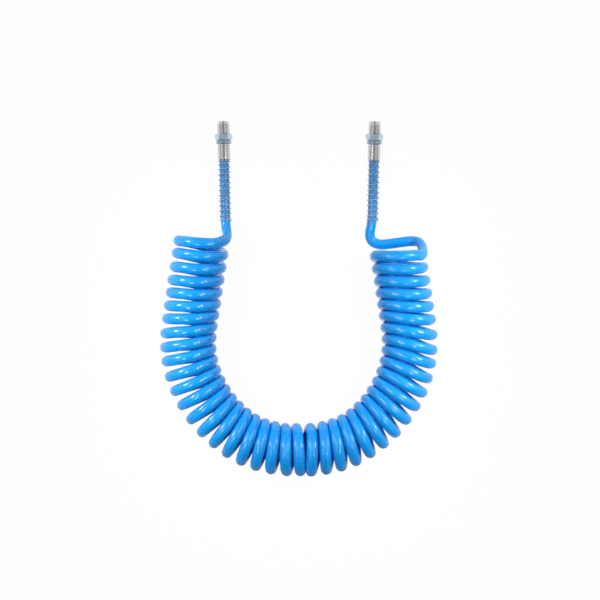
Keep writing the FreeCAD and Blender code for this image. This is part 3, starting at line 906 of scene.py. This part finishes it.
# %% [markdown]
# ## The ground and the light
# The hose lies on a plain white ground. To the camera the ground is mostly white of its own, and a small
# share of it is lit, so that it keeps a faint shadow. A ground that was only lit would need more light, and
# that would wash out the blue. Mirror-like surfaces see the white ground's own glow too, but it is dimmed by
# the bend, a painted shade in their reflections that darkens the tips of the curls there.
# %% Ground
OWN_WHITE = 0.975
# painted shade in reflections: the ground's glow to mirror-like surfaces is dimmed by the bend; from and to
# in metres, then the brightness at each
GROUND_GLOW_SHADE = (-0.2, -0.05, 0.3, 1.0)
GROUND_HALF = 3.0
GROUND_DROP = 0.0003
GROUND_GREY = (0.9, 0.9, 0.9, 1)
GROUND_ROUGHNESS = 0.9

ground_mesh = bmesh.new()
bmesh.ops.create_grid(ground_mesh, x_segments=1, y_segments=1, size=GROUND_HALF)
bmesh.ops.translate(ground_mesh, verts=ground_mesh.verts, vec=(0, 0, -GROUND_DROP))
ground = finished("ground", ground_mesh)
white, nodes, links = new_material("white_ground")
shader = nodes["Principled BSDF"]
shader.inputs["Base Color"].default_value = GROUND_GREY
shader.inputs["Roughness"].default_value = GROUND_ROUGHNESS
glow = nodes.new("ShaderNodeEmission")
path = nodes.new("ShaderNodeLightPath")
by_camera = path.outputs["Is Camera Ray"]
seen = calculate(nodes, links, "MAXIMUM", by_camera, path.outputs["Is Glossy Ray"])
share = calculate(nodes, links, "MULTIPLY", seen, OWN_WHITE)
place = nodes.new("ShaderNodeTexCoord")
forwards = component(nodes, links, place.outputs["Object"], "Y")
# painted shade in reflections: to mirror-like surfaces the ground's own glow fades towards the bend
level = calculate(nodes, links, "MAXIMUM", remap(nodes, links, forwards, *GROUND_GLOW_SHADE), by_camera)
links.new(level, glow.inputs["Strength"])
mix = nodes.new("ShaderNodeMixShader")
links.new(share, mix.inputs[0])
links.new(shader.outputs[0], mix.inputs[1])
links.new(glow.outputs[0], mix.inputs[2])
links.new(mix.outputs[0], nodes["Material Output"].inputs["Surface"])
ground.data.materials.append(white)
print("ground, m:", 2 * GROUND_HALF)

# %% [markdown]
# A photographer's room has bright strips of soft light and dark gaps between them. Here they run along the
# fittings, which get their dark and pale stripes from them, and they light the sides of the coil. Large lamps
# could stand for the strips, but a colour ramp in the world sets each strip by its place and brightness.
# %% World
# how far the direction leans sideways, as a sine, and how bright the room is there
ROOM = [(0.0, 0.3), (0.3, 0.34), (0.5, 0.85), (0.7, 0.85), (0.83, 0.42), (0.93, 0.42), (0.99, 1.0)]
# the room is dimmer on the side of the bend: from and to as a sine, then the brightness at each
DIM_SIDE = (-0.9, 0.1, 0.1, 1.12)

world = bpy.data.worlds.new("studio")
world.use_nodes = True
bpy.context.scene.world = world
nodes = world.node_tree.nodes
links = world.node_tree.links
room = nodes["Background"]
seen = nodes.new("ShaderNodeBackground")
direction = nodes.new("ShaderNodeTexCoord").outputs["Generated"]
sideways = calculate(nodes, links, "ABSOLUTE", component(nodes, links, direction, "X"))
strips = nodes.new("ShaderNodeValToRGB")
strips.color_ramp.elements.remove(strips.color_ramp.elements[1])
for number, (place, brightness) in enumerate(ROOM):
    stop = strips.color_ramp.elements[0] if number == 0 else strips.color_ramp.elements.new(place)
    stop.color = (brightness, brightness, brightness, 1)
links.new(sideways, strips.inputs[0])
links.new(strips.outputs["Color"], room.inputs["Color"])
forwards = component(nodes, links, direction, "Y")
links.new(remap(nodes, links, forwards, *DIM_SIDE), room.inputs["Strength"])
path = nodes.new("ShaderNodeLightPath")
for_camera = nodes.new("ShaderNodeMixShader")
links.new(path.outputs["Is Camera Ray"], for_camera.inputs[0])
links.new(room.outputs[0], for_camera.inputs[1])
links.new(seen.outputs[0], for_camera.inputs[2])
links.new(for_camera.outputs[0], nodes["World Output"].inputs["Surface"])
print("strips in the room:", len(strips.color_ramp.elements))


# %% [markdown]
# Each leg of the U is brightest on its outer side. So a long, narrow lamp stands high up beyond each leg and
# runs along it. A sun would light both legs from the same side. These two lamps don't show in the gloss,
# because the bright spots there are made by lamps of their own.
# %% Lamps
def turned_over(point, outer):
    """The point as it is where outer is 1, and on the other half of the U where it is -1."""
    return Vector((outer * point[0], point[1], point[2]))


def lamp(name, place, aim, width, length, power, spread):
    """A rectangular lamp at place that points at aim. Its length runs along the legs of the U."""
    light = bpy.data.lights.new(name, "AREA")
    light.shape = "RECTANGLE"
    light.size = width
    light.size_y = length
    light.energy = power
    light.spread = math.radians(spread)
    holder = bpy.data.objects.new(name, light)
    bpy.context.scene.collection.objects.link(holder)
    back = (place - aim).normalized()
    across = Vector((0, 1, 0)).cross(back).normalized()
    turned = Matrix((across, back.cross(across), back)).transposed()
    holder.location = place
    holder.rotation_euler = turned.to_euler()
    holder.visible_camera = False
    return holder


WASH_PLACE = (0.4, 0.095, 0.535)
WASH_AIM = (0.11, -0.05, 0.03)
WASH = {"width": 0.05, "length": 0.36, "power": 0.21, "spread": 34.0}
for side, outer in (("left", -1), ("right", 1)):
    wash = lamp(f"wash_{side}", turned_over(WASH_PLACE, outer), turned_over(WASH_AIM, outer), **WASH)
    wash.visible_glossy = False
print("power of a wash lamp, W:", WASH["power"])

# %% [markdown]
# The small bright spots on each strand are reflections of lamps. Each lamp here is a soft beam that only
# mirror-like surfaces show. It is aimed at one half of the U, and the other half has the same beams turned
# over. The spread is kept narrow, because a wider beam also reaches the other half and adds spots there that
# the real hose doesn't have.
# %% Beams
HALF_MIDDLE = (-0.105, -0.05, 0.045)
# name, lean sideways and towards the fittings in degrees, distance, width, length, power and spread
BEAMS = [
    ("broad", -57, 34, 0.27, 0.09, 0.26, 0.055, 29.0),
    ("small", -17, -20, 0.45, 0.1, 0.26, 0.05, 44.0),
    ("near", 27, 2, 0.45, 0.05, 0.2, 0.033, 44.0),
    ("far", 41, 20, 0.45, 0.05, 0.2, 0.033, 44.0),
]

for name, sideways, forwards, distance, *shape in BEAMS:
    for side, outer in (("left", 1), ("right", -1)):
        lean = turned_over((math.tan(math.radians(sideways)), math.tan(math.radians(forwards)), 1), outer)
        aim = turned_over(HALF_MIDDLE, outer)
        beam = lamp(f"{name}_{side}", aim + lean.normalized() * distance, aim, *shape)
        beam.visible_diffuse = False
print("beams:", 2 * len(BEAMS))

# %% [markdown]
# ## The picture
# The Standard view shows a colour about as it is written, where the default one would turn the white ground
# grey.
# %% Settings
bpy.context.scene.view_settings.view_transform = "Standard"
